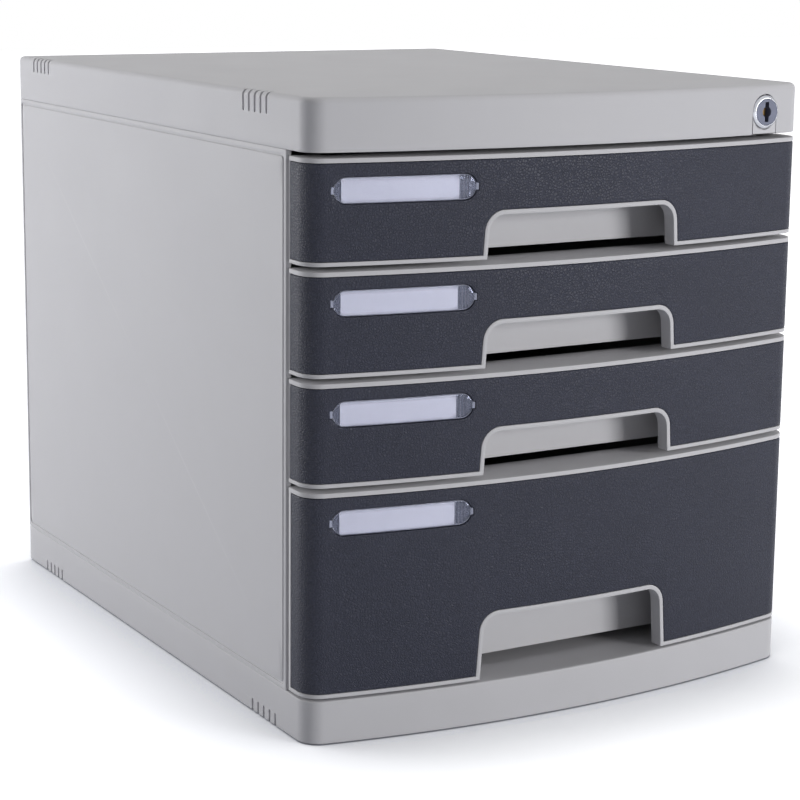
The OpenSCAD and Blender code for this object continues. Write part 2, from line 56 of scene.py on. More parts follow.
def case_line(s, inset):
    """Points (x, y) on the case's plan outline, at signed length s from the front's middle.

    In order: the bow's arc, the front corner's arc, the straight side, the back corner's arc
    and the straight back. inset moves a point inwards, square to the outline.
    """
    s, inset = np.broadcast_arrays(np.asarray(s, float), np.asarray(inset, float))
    a = np.abs(s)
    over_bow = a - BOW_L
    over_round = over_bow - ROUND_L
    over_side = over_round - SIDE_L
    over_back = over_side - BACK_L
    turn = np.minimum(a, BOW_L) / BOW_R
    turn = turn + np.clip(over_bow, 0, ROUND_L) / ROUND_R + np.clip(over_side, 0, BACK_L) / BACK_R
    x = np.select(
        [over_bow < 0, over_round < 0, over_side < 0, over_back < 0],
        [BOW_R * np.sin(turn), ROUND_X + ROUND_R * np.sin(turn), HALF_W + 0 * a,
         HALF_W - BACK_R + BACK_R * np.sin(turn)],
        HALF_W - BACK_R - over_back)
    y = np.select(
        [over_bow < 0, over_round < 0, over_side < 0, over_back < 0],
        [BOW_Y - BOW_R * np.cos(turn), ROUND_Y - ROUND_R * np.cos(turn), ROUND_Y + over_round,
         Y_BACK - BACK_R - BACK_R * np.cos(turn)],
        Y_BACK + 0 * a)
    x = np.minimum(x - inset * np.sin(turn), HALF_W - inset)
    y = np.minimum(y + inset * np.cos(turn), Y_BACK - inset)
    return np.where(s < 0, -x, x), y


def side_length(y):
    """The length along the outline at which the straight side reaches y."""
    return BOW_L + ROUND_L + y - ROUND_Y


def bow_length(x):
    """The length along the outline at which the bow reaches x: its radius times the angle."""
    return BOW_R * np.arcsin(np.asarray(x) / BOW_R)


def tube(points):
    """A closed surface from rows of closed rings.

    Each end is shut by rings that shrink towards its middle point, and a fan to that point.
    """
    middles = points[[0, -1]].mean(1)
    shrunk = np.array([0.04, 0.5, 0.9, 0.975])[:, None, None]
    points = np.concatenate([middles[0] + (points[0] - middles[0]) * shrunk, points,
                             middles[1] + (points[-1] - middles[1]) * shrunk[::-1]])
    rows, cols = points.shape[:2]
    here = np.arange(rows * cols).reshape(rows, cols)
    after = np.roll(here, -1, axis=1)
    quads = np.stack([here[:-1], after[:-1], after[1:], here[1:]], -1).reshape(-1, 4)
    none = np.full(cols, -1)
    first = np.stack([after[0], here[0], none + 1 + rows * cols, none], -1)
    last = np.stack([here[-1], after[-1], none + 2 + rows * cols, none], -1)
    return np.concatenate([points.reshape(-1, 3), middles]), np.concatenate([quads, first, last])


def weld(points, faces):
    """Joins points that coincide, and drops the corners and faces that this leaves empty."""
    _, keep, here = np.unique(np.round(points, 5), axis=0, return_index=True, return_inverse=True)
    faces = np.where(faces < 0, -1, here.ravel()[faces])
    after = np.roll(faces, -1, axis=1)
    faces = np.where(faces == np.where(after < 0, faces[:, :1], after), -1, faces)
    order = np.argsort(faces < 0, axis=1, kind="stable")
    faces = np.take_along_axis(faces, order, axis=1)
    return points[keep], faces[faces[:, 2] >= 0]


def hoop(points):
    """A closed surface that joins up both ways, such as a ring."""
    rows, cols = points.shape[:2]
    here = np.arange(rows * cols).reshape(rows, cols)
    after = np.roll(here, -1, axis=1)
    quads = np.stack([here, after, np.roll(after, -1, axis=0), np.roll(here, -1, axis=0)], -1)
    return points.reshape(-1, 3), quads.reshape(-1, 4)


def plate(front, back):
    """A closed plate between two grids of the same shape; strips join their four borders."""
    rows, cols = front.shape[:2]
    n = rows * cols
    f = np.arange(n).reshape(rows, cols)
    quads = np.stack([f[:-1, :-1], f[:-1, 1:], f[1:, 1:], f[1:, :-1]], -1).reshape(-1, 4)
    border = np.concatenate([f[0, :-1], f[:-1, -1], f[-1, :0:-1], f[:0:-1, 0]])
    after = np.roll(border, -1)
    strips = np.stack([after, border, border + n, after + n], -1)
    points = np.concatenate([front.reshape(-1, 3), back.reshape(-1, 3)])
    return points, np.concatenate([quads, quads[:, ::-1] + n, strips])


def turned(profile, centre, axis="z", count=64):
    """A profile of (radius, height) pairs turned about an axis through centre.

    A point is the radius times (cosine, sine) across the axis, with the height along it.
    """
    a = np.linspace(0, 2 * np.pi, count, endpoint=False)
    r, h = np.asarray(profile, float).T[:, :, None]
    across, up, along = r * np.cos(a), r * np.sin(a), h + 0 * a
    order = {"z": (across, up, along), "y": (across, along, -up)}[axis]
    return np.stack(order, -1) + np.asarray(centre, float)


def rounded_ring(u0, u1, v0, v1, r, arc=4, along=6):
    """Points (u, v) round a rectangle with corners of radius r, the same count for any size."""
    a = np.linspace(0, np.pi / 2, arc + 1)
    share = np.linspace(0, 1, along + 2)[1:-1]
    corners = ((u1 - r, v1 - r, 0), (u0 + r, v1 - r, 1), (u0 + r, v0 + r, 2), (u1 - r, v0 + r, 3))
    arcs = [np.stack([u + r * np.cos(a + k * np.pi / 2), v + r * np.sin(a + k * np.pi / 2)], -1)
            for u, v, k in corners]
    sides = [arcs[k][-1] + share[:, None] * (arcs[(k + 1) % 4][0] - arcs[k][-1]) for k in range(4)]
    return np.concatenate([p for pair in zip(arcs, sides) for p in pair])


def block(x0, x1, y0, y1, z0, z1, r=0.4):
    """A slab with rounded edges, as rings carried up it and drawn in at both ends.

    A quarter circle of radius r gives how far each end's rings are drawn in.
    """
    a = np.linspace(0, np.pi / 2, 4)
    inset = np.concatenate([r * (1 - np.sin(a)), r * (1 - np.sin(a[::-1]))])
    height = np.concatenate([z0 + r * (1 - np.cos(a)), z1 - r * (1 - np.cos(a[::-1]))])
    rings = [rounded_ring(x0 + i, x1 - i, y0 + i, y1 - i, 1.1 * r - i, 3, 0) for i in inset]
    points = np.stack([np.column_stack([ring, np.full(len(ring), z)])
                       for ring, z in zip(rings, height)])
    return tube(points)


SHARP_TURN = math.radians(38)        # faces that meet at more than this keep a crisp edge


def make_piece(name, parts, body, slot, material, *nodes):
    """One mesh from closed surfaces in millimetres; each is turned so that its faces look out.

    The sign of the volume that a surface encloses says which way its faces look.
    """
    points, faces, start = [], [], 0
    for p, f in parts:
        a, b, c, d = (p[f[:, k]] for k in range(4))
        d = np.where(f[:, 3:] < 0, c, d)
        volume = (np.cross(b, c) * a).sum() + (np.cross(c, d) * a).sum()
        f = f[:, ::-1] if volume < 0 else f
        points.append(p)
        faces.append(np.where(f < 0, -1, f + start))
        start += len(p)
    points, faces = np.concatenate(points) / 1000, np.concatenate(faces)
    count = (faces >= 0).sum(1)
    corners = faces[faces >= 0]
    mesh = bpy.data.meshes.new(name)
    mesh.vertices.add(len(points))
    mesh.vertices.foreach_set("co", points.astype(np.float32).ravel())
    mesh.loops.add(len(corners))
    mesh.polygons.add(len(faces))
    mesh.polygons.foreach_set("loop_start", (np.cumsum(count) - count).astype(np.int32))
    mesh.polygons.foreach_set("vertices", corners.astype(np.int32))
    mesh.update(calc_edges=True)
    mesh.validate()
    mesh.shade_smooth()
    mesh.set_sharp_from_angle(angle=SHARP_TURN)
    mesh.materials.append(material)
    piece = bpy.data.objects.new(name, mesh)
    bpy.context.scene.collection.objects.link(piece)
    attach(piece, body)
    if nodes:
        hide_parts(*nodes)
    return piece


def add_node(tree, kind, sockets=(), **settings):
    """A shader node with its settings, and its sockets set to values or fed by other sockets."""
    node = tree.nodes.new(kind)
    for key, value in settings.items():
        setattr(node, key, value)
    for key, value in dict(sockets).items():
        if isinstance(value, bpy.types.NodeSocket):
            tree.links.new(value, node.inputs[key])
        else:
            node.inputs[key].default_value = value
    return node


def new_material(name):
    """A material with an empty tree, its Object coordinates and its shader."""
    material = bpy.data.materials.new(name)
    material.use_nodes = True
    tree = material.node_tree
    tree.nodes.clear()
    place = tree.nodes.new("ShaderNodeTexCoord").outputs["Object"]
    shader = tree.nodes.new("ShaderNodeBsdfPrincipled")
    out = tree.nodes.new("ShaderNodeOutputMaterial")
    tree.links.new(shader.outputs[0], out.inputs["Surface"])
    return material, tree, place, shader


def noise(tree, place, scale, detail, rough=0.5):
    """Noise between 0 and 1 at a scale per metre; most of it lies from 0.3 to 0.7."""
    return add_node(tree, "ShaderNodeTexNoise", {
        "Vector": place, "Scale": scale, "Detail": detail, "Roughness": rough}).outputs["Fac"]


def remap(tree, value, to_low, to_high, low=0.3, high=0.7, **settings):
    """A value stretched so that low..high becomes to_low..to_high, and held at both ends."""
    return add_node(tree, "ShaderNodeMapRange", {
        "Value": value, "From Min": low, "From Max": high, "To Min": to_low,
        "To Max": to_high}, **settings).outputs[0]


def product(tree, first, second):
    """The product of two values."""
    return add_node(tree, "ShaderNodeMath", {0: first, 1: second}, operation="MULTIPLY").outputs[0]


def edge_wear_and_highlight(tree, to_high, low, high):
    """How far a spot takes an edge's look, from 0 on a flat to to_high on an edge that stands out:
    rubbed wear on the mouldings, scuffing and painted highlight on the clear windows.
    """
    geometry = add_node(tree, "ShaderNodeNewGeometry")
    return remap(tree, geometry.outputs["Pointiness"], 0.0, to_high, low, high)


def mixed(tree, share, colour, worn):
    """A colour that turns into the worn one by a share."""
    mix = add_node(tree, "ShaderNodeMix", {"Factor": share}, data_type="RGBA")
    mix.inputs["A"].default_value = (*colour, 1)
    mix.inputs["B"].default_value = (*worn, 1)
    return mix.outputs["Result"]


def finish_shader(tree, shader, colour, tone, gloss, height, distance, strength=1.0):
    """Sets the shader's colour, times a tone, its roughness, and its bump of a height."""
    toned = add_node(tree, "ShaderNodeVectorMath", {0: colour, "Scale": tone}, operation="SCALE")
    tree.links.new(toned.outputs[0], shader.inputs["Base Color"])
    if gloss:
        tree.links.new(gloss, shader.inputs["Roughness"])
    bump = add_node(tree, "ShaderNodeBump", {
        "Height": height, "Distance": distance, "Strength": strength})
    tree.links.new(bump.outputs[0], shader.inputs["Normal"])


def moulded(name, colour, worn, rough, grain, depth, wear=0.5):
    """Moulded plastic: cloudy colour and sheen, fine spark-eroded grain, and paler rubbed edges.

    grain is the texture's scale per metre and depth its bump's height in metres.
    """
    material, tree, place, shader = new_material(name)
    shader.inputs["Specular IOR Level"].default_value = 0.13
    cloud = noise(tree, place, 28, 4)
    worn_share = product(tree, edge_wear_and_highlight(tree, wear, 0.515, 0.60), noise(tree, place, 160, 5))
    finish_shader(
        tree, shader, mixed(tree, worn_share, colour, worn), remap(tree, cloud, 0.985, 1.012),
        remap(tree, cloud, rough - 0.05, rough + 0.05), noise(tree, place, grain, 3, 0.6), depth)
    return material


light_plastic = moulded(
    "light_plastic", (0.565, 0.56, 0.58), (0.66, 0.655, 0.67), 0.5, 2200, 0.00004)


def groove_columns(middles, outside=1.15, inside=0.86):
    """Columns across grooves with these middles: nine each, at set shares of the half width.

    Returns each column's middle, its share, and whether it lies on the groove's floor.
    """
    share = np.array([-outside, -1.0, -inside, -0.45, 0, 0.45, inside, 1.0, outside])
    middle = np.repeat(np.asarray(middles, float), len(share))
    share = np.tile(share, len(middle) // len(share))
    return middle, share, np.abs(share) <= inside


def skirt(rows, s_plain, grooves, masks):
    """A moulding's skin: a profile carried round the case's outline, with grooves sunk in it.

    rows has the profile's inset, height and inward normal. s_plain are the lengths of plain
    columns. Each of grooves has one group's columns, its half width and its depth, and masks
    has the group's (width share, depth share) for every row.
    """
    inset, height, n_in, n_up = (c[:, None] for c in np.asarray(rows, float).T)
    s = [np.tile(s_plain, (len(rows), 1))]
    sunk = [np.zeros((len(rows), len(s_plain)))]
    for ((middle, share, floor), half, depth), (wide, deep) in zip(grooves, masks):
        s.append(middle + share * half * wide[:, None])
        sunk.append(floor * depth * deep[:, None])
    s, sunk = np.concatenate(s, 1), np.concatenate(sunk, 1)
    order = np.argsort(s[0])
    s, sunk = s[:, order], sunk[:, order]
    x, y = case_line(s, inset + sunk * n_in)
    return np.stack([x, y, height + sunk * n_up + 0 * s], -1)


def plain_lengths(skip):
    """Lengths along the whole outline for plain columns, left out where skip has (from, to)."""
    half = np.concatenate([
        np.linspace(0, BOW_L, 60), np.linspace(BOW_L, BOW_L + ROUND_L, 14)[1:],
        np.linspace(BOW_L + ROUND_L, BOW_L + ROUND_L + SIDE_L, 40)[1:],
        np.linspace(HALF_L - HALF_W + BACK_R - BACK_L, HALF_L - HALF_W + BACK_R, 5)[1:],
        np.linspace(HALF_L - HALF_W + BACK_R, HALF_L, 8)[1:]])
    s = np.concatenate([-half[-2:0:-1], half])
    for low, high in skip:
        s = s[(s < low) | (s > high)]
    return s


VENT_HALF, VENT_DEEP, VENT_MARGIN = 1.0, 1.2, 1.5


def vent_groups(*centres):
    """The two sides' groups of five grooves round each (y, pitch), and the lengths they fill."""
    grooves, skip = [], []
    for y, pitch in centres:
        middles = side_length(y + pitch * np.arange(-2, 3))
        for side in (-1, 1):
            grooves.append((groove_columns(side * middles), VENT_HALF, VENT_DEEP))
            ends = np.sort(side * middles)
            skip.append((ends[0] - VENT_MARGIN, ends[-1] + VENT_MARGIN))
    return grooves, skip


def round_end(distance):
    """Width share of a groove at a distance inside its round end, and whether it is sunk."""
    wide = np.sqrt(np.clip(1 - (1 - np.clip(distance, 0, 1) / VENT_HALF) ** 2, 0.06, 1))
    return wide, (distance > 0.03).astype(float)


# The skirt's section: each row's inset, height and inward normal, from the deck's underside
# down inside the wall, round its foot, up the outside and over the top edge.
BASE_TOP, BASE_VENT_TOP = 23.0, 7.3
base_rows = np.array(
    [(8, 20.5, 0, 0), (3.8, 20.5, 0, 0), (3.0, 19.7, 0, 0), (3.0, 1.1, 0, 0), (2.8, 0.8, 0, 0),
     (1.5, 0.8, 0, 0), (0.35, 0.8, 1, 0), (0.1, 0.9, 1, 0), (0, 1.15, 1, 0)]
    + [(0, z, 1, 0) for z in (3, 5, 6.1, 6.3, 6.6, 6.85, 7.05, 7.2, 7.27, BASE_VENT_TOP,
                              7.5, 10, 16, 22)]
    + [(0.08, BASE_TOP - 0.4, 0, 0), (0.3, BASE_TOP - 0.12, 0, 0), (0.65, BASE_TOP, 0, 0),
       (3, BASE_TOP, 0, 0), (10, BASE_TOP, 0, 0)])
base_vents, base_skip = vent_groups((CORNER_Y + 46.2, 6.5), (CORNER_Y + 338.8, 6.2))
vent_wide, vent_sunk = round_end(BASE_VENT_TOP - base_rows[:, 1])
outside = base_rows[:, 2] > 0
open_share = (np.where(outside, vent_wide, 1), vent_sunk * outside)
base_skin = weld(*tube(skirt(
    base_rows, plain_lengths(base_skip), base_vents, [open_share] * 4)))
FOOT_SPOTS = [(x, y) for x in (-126.0, 126.0) for y in (-158.5, 175.5)]
foot_tubes = [hoop(turned([(10, 3.3), (9.7, 3), (7, 3), (6.5, 3.5), (6.5, 20.4), (10, 20.4)],
                          (x, y, 0))) for x, y in FOOT_SPOTS]
RIB_END, RIB_HALF_T, RIB_PITCH = 146.8, 1.0, 100


def cross_ribs(z0, z1):
    """Three level ribs from side to side, between two heights."""
    return [block(-RIB_END, RIB_END, y - RIB_HALF_T, y + RIB_HALF_T, z0, z1, 0.3)
            for y in (-RIB_PITCH, 0, RIB_PITCH)]


make_piece("base_tray_shell", [base_skin] + foot_tubes + cross_ribs(11, 20.8), "case",
           "light_plastic", light_plastic, "base_tray")

# ---------------------------------------------------------------------- foot pads
# Four turned pads of black rubber, 19 mm across and 3 mm high, pushed on the base's tubes; the
# face that meets the table has a shallow ring so that it grips.
black_rubber = moulded(
    "black_rubber", (0.022, 0.022, 0.024), (0.06, 0.06, 0.062), 0.72, 900, 0.00008, 0.3)
pad_profile = [(0.05, 0.5), (5.2, 0.5), (5.8, 0), (8.7, 0), (9.3, 0.25), (9.5, 0.8), (9.5, 2.6),
               (9.2, 3.0), (0.05, 3.0)]
make_piece("rubber_feet", [tube(turned(pad_profile, (x, y, 0))) for x, y in FOOT_SPOTS], "case",
           "black_rubber", black_rubber, "foot_pads")

# -------------------------------------------------------------------- side panels
# Two flat 3 mm mouldings, 360.5 x 272.8 mm, screwed to the base and hooked in the cover by a
# tongue. A fine groove runs round the outside. Inside are the runner rails, the drawers'
# stops and the screw posts; the right one also has two loops for the lock bar.
PANEL_Y, COVER_Z, INNER_X = -161.0, 295.8, 147.0
PANEL_ROOT = INNER_X + 0.2           # ribs and rails start a little inside the panel
# Each drawer's lower edge, its top, and its floor's height over the lower edge.
DRAWERS = {4: (24.4, 129.4, 9.0), 3: (132.0, 184.0, 3.4), 2: (186.6, 238.6, 3.4),
           1: (241.2, 293.2, 3.4)}
TRAY_BACK, TRAY_WALL = 192.5, 2.2
RAIL_X, RAIL_Y, RAIL_T, RUN_GAP = 137.5, -145, 2.4, 0.3
STOP_X, STOP_Y, STOP_T = 134.5, -136, 4
POST_X, POST_R = 142.4, 4.0
LOOP_X, LOOP_HIGH = 139.9, 8


def grooved_plate(u0, u1, v0, v1, t):
    """Rings (u, v, height) over a flat panel of thickness t, from its inner face to its outer one.

    Each ring is a rounded rectangle, inset from the panel's outline. The fine groove runs
    2.4 to 3.6 mm in from the edge.
    """
    rows = [(0.3, 0), (0, 0.3), (0, t - 0.45), (0.12, t - 0.12), (0.45, t), (2.25, t),
            (2.4, t - 0.12), (2.45, t - 0.5), (2.6, t - 0.6), (3.4, t - 0.6), (3.55, t - 0.5),
            (3.6, t - 0.12), (3.75, t), (8, t)]
    rings = [np.column_stack([rounded_ring(u0 + i, u1 - i, v0 + i, v1 - i, 0.6 + 0.45 * i, 5, 14),
                              np.full(4 * 6 + 4 * 14, h)]) for i, h in rows]
    return np.stack(rings)


def side_parts(side):
    """The surfaces of one side panel, drawn on the right and mirrored for side -1."""
    u, v, h = np.moveaxis(grooved_plate(PANEL_Y, Y_BACK, BASE_TOP, COVER_Z, HALF_W - INNER_X), 2, 0)
    parts = [tube(np.stack([INNER_X + h, u, v], -1))]
    for z0, z1, lift in DRAWERS.values():
        under, over = z0 + lift - RUN_GAP, z0 + lift + TRAY_WALL + RUN_GAP
        parts += [block(RAIL_X, PANEL_ROOT, RAIL_Y, TRAY_BACK, under - RAIL_T, under),
                  block(RAIL_X, PANEL_ROOT, RAIL_Y, TRAY_BACK, over, over + RAIL_T),
                  block(STOP_X, PANEL_ROOT, STOP_Y, STOP_Y + STOP_T, z1 - 11.5, z1 - 5)]
    post = [(0.05, BASE_TOP), (POST_R, BASE_TOP), (POST_R, 29.6), (POST_R - 0.4, 30), (0.05, 30)]
    parts += [tube(turned(post, (POST_X, y, 0), count=32)) for y in (-119.7, 143.6)]
    parts.append(block(144.8, 146.9, -142, 187.5, COVER_Z - 6, COVER_Z + 8))
    if side > 0:
        for z in (150.0, 257.2):
            parts += [block(LOOP_X, PANEL_ROOT, -160.5, -158.6, z, z + LOOP_HIGH),
                      block(LOOP_X, PANEL_ROOT, -149.4, -147.5, z, z + LOOP_HIGH),
                      block(LOOP_X, LOOP_X + 2, -160.5, -147.5, z, z + LOOP_HIGH)]
    return [(p * (side, 1, 1), f) for p, f in parts]


make_piece("left_side_shell", side_parts(-1), "case", "light_plastic", light_plastic,
           "left_side_panel")
make_piece("right_side_shell", side_parts(1), "case", "light_plastic", light_plastic,
           "right_side_panel")

# --------------------------------------------------------------------- back panel
# A flat 3 mm moulding, 293.8 x 272.8 mm, between the side panels, with the same fine groove.
BACK_HALF, BACK_T = 146.9, 3
u, v, h = np.moveaxis(grooved_plate(-BACK_HALF, BACK_HALF, BASE_TOP, COVER_Z, BACK_T), 2, 0)
make_piece("back_shell", [tube(np.stack([u, Y_BACK - BACK_T + h, v], -1))], "case",
           "light_plastic", light_plastic, "back_panel")

# ------------------------------------------------------------------------- screws
# Four pan-head screws of zinc-plated steel hold the side panels from under the base, and one
# holds the cam on the lock's plug.
def brushed_metal(name, colour, rough, scale):
    """Plated or cast metal: fine scratches in its roughness and its surface, and dull patches.

    scale squeezes the scratches' noise along each axis.
    """
    material, tree, place, shader = new_material(name)
    shader.inputs["Metallic"].default_value = 1.0
    stretch = add_node(tree, "ShaderNodeMapping", {"Vector": place, "Scale": scale})
    scratches = noise(tree, stretch.outputs[0], 900, 4)
    patches = remap(tree, noise(tree, place, 120, 3), 0.9, 1.06)
    finish_shader(tree, shader, colour, patches, remap(tree, scratches, rough - 0.06, rough + 0.08),
                  scratches, 0.00001, 0.6)
    return material


def dress(material, *nodes):
    """Gives CAD nodes that keep their own meshes a material."""
    for node in nodes:
        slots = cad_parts[node].data.materials
        slots.clear()
        slots.append(material)


zinc_steel = brushed_metal("zinc_steel", (0.62, 0.62, 0.64), 0.32, (1, 1, 8))
dress(zinc_steel, "case_screws", "lock_clip", "lock_cam", "cam_screw")

# ---------------------------------------------------------------------- top cover
# One light grey moulding like a shallow lid, 26.2 mm high, with a 3 mm wall and top. Its front
# has a slot, open downwards, in which the lock stands, and its sides have two groups of
# vent grooves that run over the top edge.
LOCK_X, LOCK_Y, LOCK_Z = 120.5, -190.2, 307.7
CASE_H, COVER_IN_Z, EDGE_R = 322.0, 319.0, 3.0
SLOT_HALF, SLOT_DEEP = 9.5, 2.6
lock_s = float(bow_length(LOCK_X))
SLOT_MARGIN = 11                     # plain columns keep this far from the slot's middle
FRONT_VENT_LOW, REAR_VENT_LOW, VENT_REACH = 311.2, 313.3, 4.32
# The wall's rows: some for the slot's round top, and some where the vents' round ends lie.
arc_rows = LOCK_Z + SLOT_HALF * np.sin(np.radians([0, 12, 25, 38, 50, 60, 69, 77, 83, 88]))
vent_rows = [311.0, FRONT_VENT_LOW, 311.24, 311.4, 311.7, 312.2, 313.1, REAR_VENT_LOW, 313.34,
             313.5, 313.8, 314.3]
wall_z = np.unique(np.round(np.concatenate([
    [COVER_Z + 0.4, 298.5, 301, 304, 317.3, 318.2, COVER_IN_Z], arc_rows, vent_rows]), 3))
fillet = np.radians(np.linspace(0, 90, 9))
# The lid's section: inset, height and inward normal, from the ceiling down inside the wall,
# round its foot, up the outside, over a quarter-round edge and on to the flat top.
inner_rows = [(8, COVER_IN_Z, 0, 0), (3.8, COVER_IN_Z, 0, 0), (3, 318.2, 0, 0),
              (3, COVER_Z + 0.3, 0, 0), (2.9, COVER_Z, 0, 0), (1.5, COVER_Z, 0, 0),
              (0.4, COVER_Z, 1, 0), (0.12, COVER_Z + 0.12, 1, 0)]
cover_rows = np.array(
    inner_rows + [(0, z, 1, 0) for z in wall_z]
    + [(EDGE_R * (1 - math.cos(a)), CASE_H - EDGE_R + EDGE_R * math.sin(a), math.cos(a),
        -math.sin(a)) for a in fillet[1:]]
    + [(i, CASE_H, 0, -1) for i in (3.6, 4.3, 4.34, 4.5, 5.2, 9)])
row_in, row_z, row_n = cover_rows[:, 0], cover_rows[:, 1], cover_rows[:, 2]
outer = np.arange(len(cover_rows)) >= len(inner_rows)
masks = []
for vent_low in (FRONT_VENT_LOW, REAR_VENT_LOW):
    wide, deep = round_end(row_z - vent_low)
    masks += [(np.where(outer, wide, 0.25), deep * outer * (row_in < VENT_REACH))] * 2
slot_wide = np.sqrt(np.clip(1 - ((row_z - LOCK_Z) / SLOT_HALF) ** 2, 0.0004, 1))
slot_wide = np.where(row_z < LOCK_Z, 1.0, slot_wide)
in_slot = (row_n > 0.5) & (row_z < LOCK_Z + SLOT_HALF) & (row_in < 1)
masks.append((slot_wide, in_slot * 1.0))
cover_vents, cover_skip = vent_groups((CORNER_Y + 55.4, 6.4), (CORNER_Y + 345.4, 6.0))
cover_vents.append((groove_columns([lock_s], 1.06, 0.985), SLOT_HALF * 1.0165, SLOT_DEEP))
cover_columns = plain_lengths(cover_skip + [(lock_s - SLOT_MARGIN, lock_s + SLOT_MARGIN)])
cover_skin = weld(*tube(skirt(cover_rows, cover_columns, cover_vents, masks)))
BOSS_FRONT, BOSS_BACK = -184.2, -178.0
boss = [block(x0, x1, BOSS_FRONT, BOSS_BACK, z0, COVER_IN_Z + 0.2, 0.5)
        for x0, x1, z0 in ((107.5, 111.2, 296.0), (129.8, 133.5, 296.0), (108.5, 132.5, 316.4))]
make_piece("top_cover_shell", [cover_skin] + cross_ribs(315, COVER_IN_Z + 0.2) + boss, "case",
           "light_plastic", light_plastic, "top_cover")

# --------------------------------------------------------------------------- lock
# A 16 mm cam lock: a chromed zinc housing with a bevelled bezel, pushed back on the cover's boss
# by a steel clip, and a satin plug with an upright keyway, closed by a brass shutter, that turns
# the cam. A light grey filler piece closes the cover's slot under it.
dress(light_plastic, "lock_insert", "lock_bar")
chrome = brushed_metal("chromed_zinc", (0.5, 0.51, 0.55), 0.2, (1, 1, 1))
# The plug's dark satin zinc carries a blue tint in its colour: painted reflection of bluish
# surroundings.
satin = brushed_metal("satin_zinc", (0.085, 0.095, 0.145), 0.5, (1, 1, 6))
satin.node_tree.nodes["Principled BSDF"].inputs["Metallic"].default_value = 0.2
# The housing's section as (radius, depth behind the face): the bezel's lip and bevel, the
# barrel with its groove for the clip, and the bore back to the plug's seat.
housing_profile = [
    (7.1, 0.2), (7.2, 0), (7.35, 0), (7.4, 0.03), (7.5, 0.12), (8.5, 1.12), (8.6, 1.22),
    (8.78, 1.6), (8.8, 1.8), (8.8, 3.5), (8.3, 3.5), (8.3, 12.2),
    (7.6, 12.2), (7.6, 13.7), (8.3, 13.7), (8.3, 22), (5.6, 22), (5.6, 1.7), (7.1, 1.7)]
make_piece("lock_shell", [hoop(turned(housing_profile, (LOCK_X, LOCK_Y, LOCK_Z), "y", 96))],
           "case", "chromed_zinc", chrome, "lock_housing")
angle = np.linspace(0, 2 * np.pi, 96, endpoint=False)
KEY_HALF, KEY_HIGH, KEY_ROUND, KEY_DEEP = 1.2, 5.2, 2.7, 14.0
FACE_R, PLUG_R, TAIL_R = 7.0, 5.5, 3.0
FACE_T, PLUG_L, TAIL_END = 1.6, 23.0, 25.5
# The keyway's reach at each angle: a tall thin rectangle, or its round middle if that is wider.
across = KEY_HALF / np.maximum(np.abs(np.cos(angle)), 1e-6)
upright = KEY_HIGH / np.maximum(np.abs(np.sin(angle)), 1e-6)
key_reach = np.maximum(np.minimum(across, upright), KEY_ROUND)


def plug_ring(reach, depth):
    """A ring on the plug: its reach from the axis at each angle, at a depth behind the face."""
    return np.stack([LOCK_X + reach * np.cos(angle), LOCK_Y + depth + 0 * angle,
                     LOCK_Z + reach * np.sin(angle)], -1)


plug_rings = [plug_ring(key_reach, KEY_DEEP), plug_ring(key_reach, 0.15),
              plug_ring(key_reach + 0.15, -0.1)]
plug_rings += [plug_ring(radius + 0 * angle, depth) for radius, depth in (
    (FACE_R - 0.2, -0.1), (FACE_R, 0.1), (FACE_R, FACE_T), (PLUG_R, FACE_T), (PLUG_R, PLUG_L),
    (TAIL_R, PLUG_L), (TAIL_R, TAIL_END))]
make_piece("lock_core_shell", [tube(np.stack(plug_rings))], "lock_core", "satin_zinc", satin,
           "lock_plug")
brass = brushed_metal("brass", (0.30, 0.19, 0.07), 0.5, (1, 1, 1))
SHUTTER_Y, SHUTTER_T, SHUTTER_HIGH = LOCK_Y + 3.6, 1.2, 4.9
shutter = block(LOCK_X - 2.3, LOCK_X + 2.0, SHUTTER_Y, SHUTTER_Y + SHUTTER_T,
                LOCK_Z - SHUTTER_HIGH, LOCK_Z + SHUTTER_HIGH, 0.2)
make_piece("key_shutter", [shutter], "lock_core", "satin_zinc", brass)

# ------------------------------------------------------------------- drawer trays
# Each drawer is one light grey moulding: a bowed front wall with rims round the dark panel's
# seat, a splayed finger notch with side walls, a flat top flange, and behind it the storage
# box with runner flanges, shoulders, stop fins and a floor. Drawer 4 is the deep one.
PANEL_T, WALL_IN, NOTCH_IN = 3.0, 5.2, 8.0
RETURN_Y, STORE_Y, TRAY_X = -164.0, -170.9, 136.5
RIM_LOW, RIM_TOP, NOTCH_RIM, NOTCH_R = 2.0, 2.4, 2.3, 11.0
SPLAY = math.radians(4)
NOTCH_HALF, SEAT_EDGE = 59.5, 0.12   # half the notch's foot; the chamfer of the seat's edges
RETURN_S = float(side_length(RETURN_Y))
LABEL_X, LABEL_DROP, LABEL_HALF, LABEL_R, TAB_HALF, TAB_OUT = -100.3, 15.6, 30.4, 6.75, 2.0, 1.0


def front_sizes(n):
    """The finger notch's height and the side rim's width, both larger on the deep drawer."""
    return (35.7, 2.2) if n == 4 else (24.2, 0.8)


def both_halves(a, sign):
    """A row for a whole front from its right half: the left half is its mirror, times sign."""
    return np.concatenate([sign * a[:0:-1], a])


